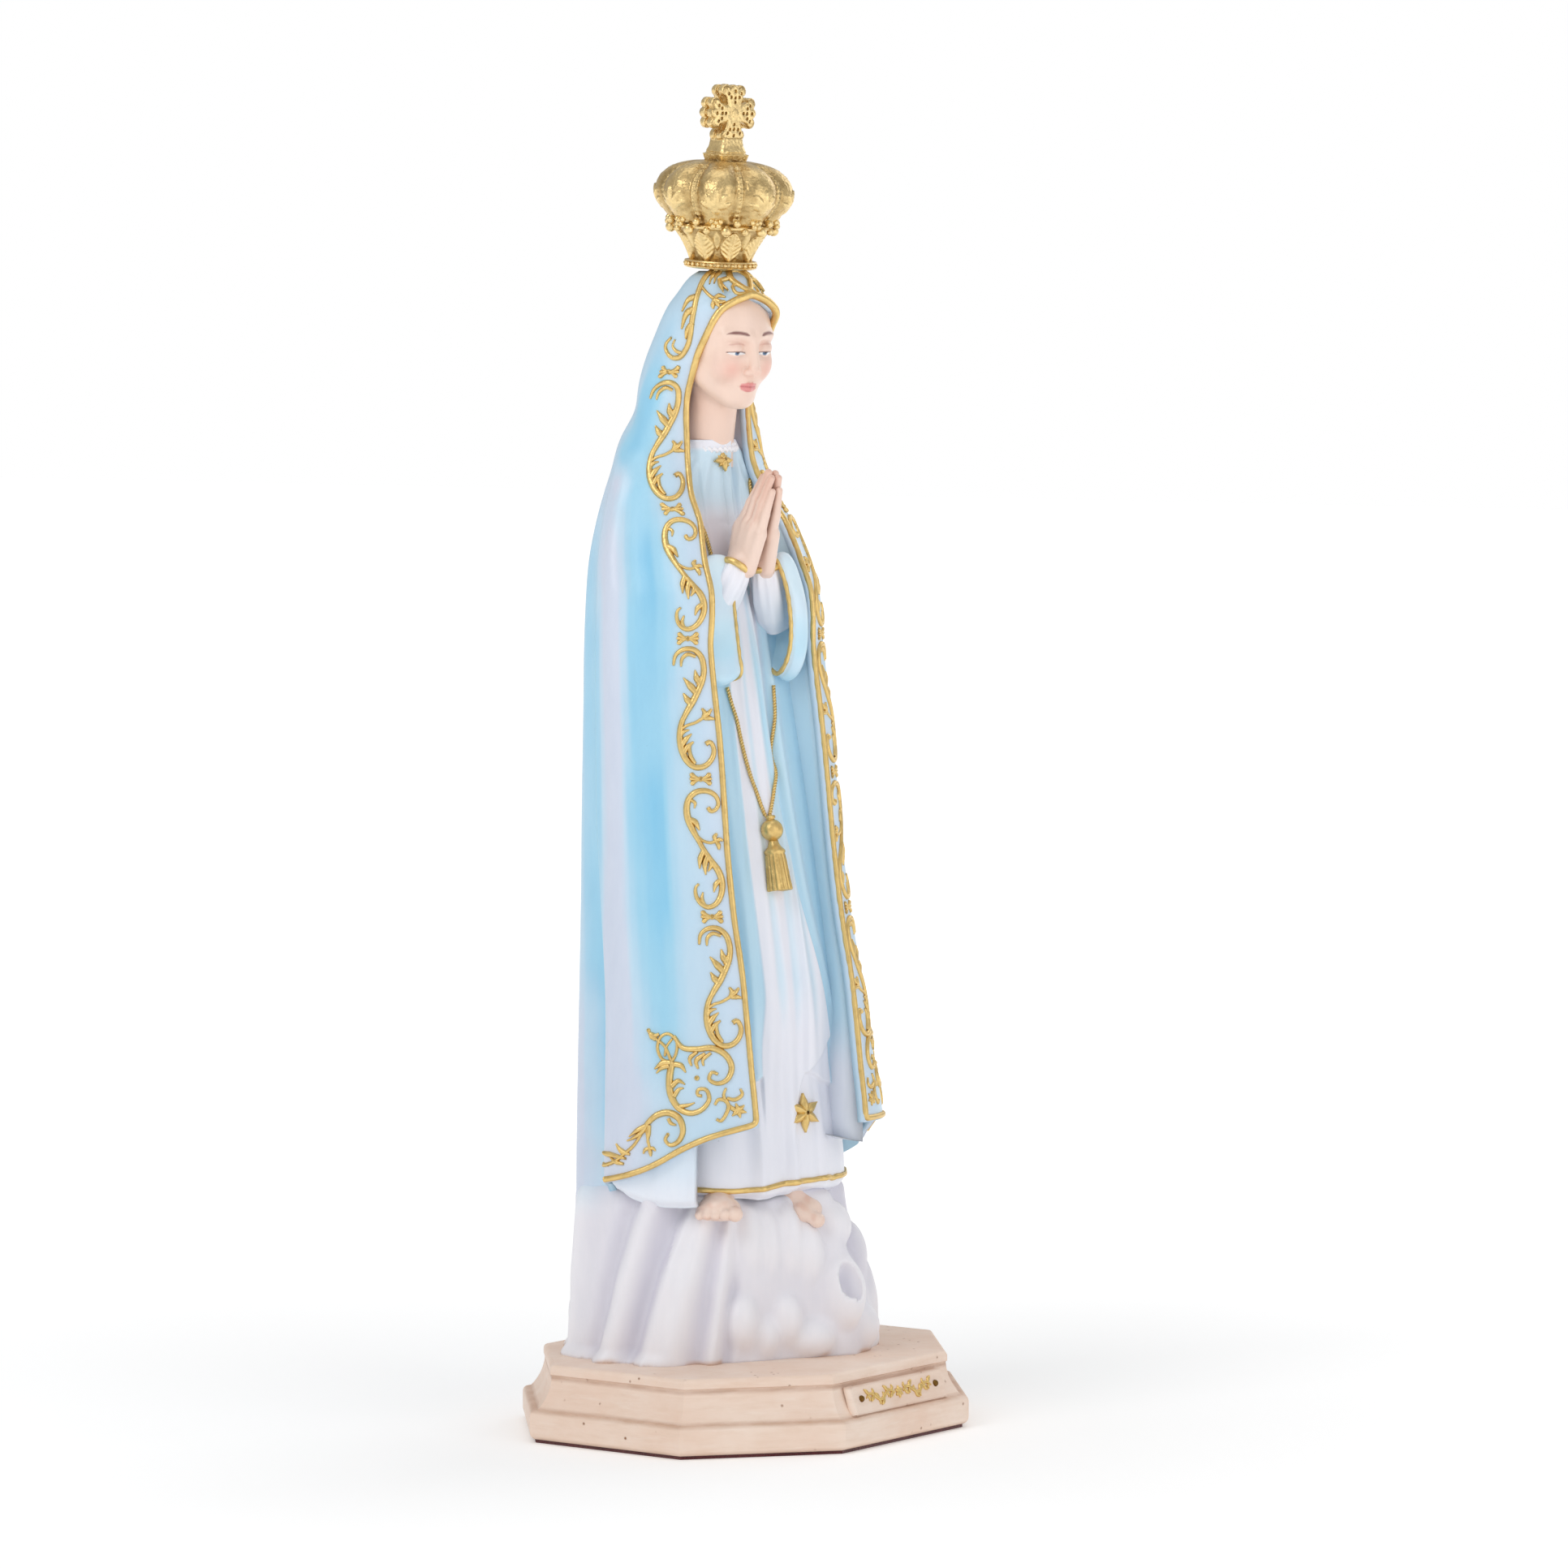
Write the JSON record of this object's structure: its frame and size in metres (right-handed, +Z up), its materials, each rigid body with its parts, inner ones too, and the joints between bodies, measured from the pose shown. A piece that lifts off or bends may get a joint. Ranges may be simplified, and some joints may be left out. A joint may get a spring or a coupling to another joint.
{
  "type": "madonna statue",
  "caption": "Standing robed devotional figure with praying hands on a cloud and eight-sided plinth, with a lift-off crown that turns on its peg.",
  "frame": {"origin": "middle of the plinth's underside, on the floor plane", "axes": "+Z up; the plinth's plaque side faces -Y, the figure's right hand side is -X; the figure is turned 15 degrees towards -X on the plinth"},
  "size_m": [0.156, 0.135, 0.4501],
  "materials": {
    "felt": "matte felt",
    "plinth_wash": "pale washed, matt",
    "cast_white": "painted casting, satin",
    "sky_blue": "airbrushed paint on a casting, satin",
    "flesh": "painted casting, satin",
    "gold_paint": "gold paint, satin",
    "crown_gold": "gilded casting, bright",
    "pin_steel": "plain"
  },
  "bodies": {
    "root": {"felt_pad": "felt", "plinth": "plinth_wash", "plaque": "plinth_wash", "plaque_studs": "gold_paint", "cloud": "cast_white", "gown": "cast_white", "right_foot": "flesh", "left_foot": "flesh", "mantle": "sky_blue", "mantle_piping": "gold_paint", "mantle_scrollwork_right": "gold_paint", "mantle_scrollwork_left": "gold_paint", "head": "flesh", "right_hand": "flesh", "left_hand": "flesh", "right_cuff": "gold_paint", "left_cuff": "gold_paint", "right_sleeve": "sky_blue", "left_sleeve": "sky_blue", "sleeve_piping": "gold_paint", "gown_hem_piping": "gold_paint", "collar_brooch": "gold_paint", "gown_star": "gold_paint", "rope_relief": "gold_paint", "pendant_ball": "gold_paint", "tassel": "gold_paint"},
    "crown_pin": {"crown_pin": "pin_steel"},
    "crown": {"crown_band": "crown_gold", "crown_cup": "crown_gold", "crown_beads": "crown_gold", "crown_bulb": "crown_gold", "crown_cross": "crown_gold"}
  },
  "joints": [
    {"name": "crown_lift", "type": "slide", "parent": "root", "child": "crown_pin", "axis": [-0.0203, -0.0758, 0.9969], "range_m": [0, 0.03]},
    {"name": "crown_turn", "type": "hinge", "parent": "crown_pin", "child": "crown", "pos_m": [0.00034, 0.01026, 0.3889], "axis": [-0.0203, -0.0758, 0.9969], "continuous": true}
  ]
}
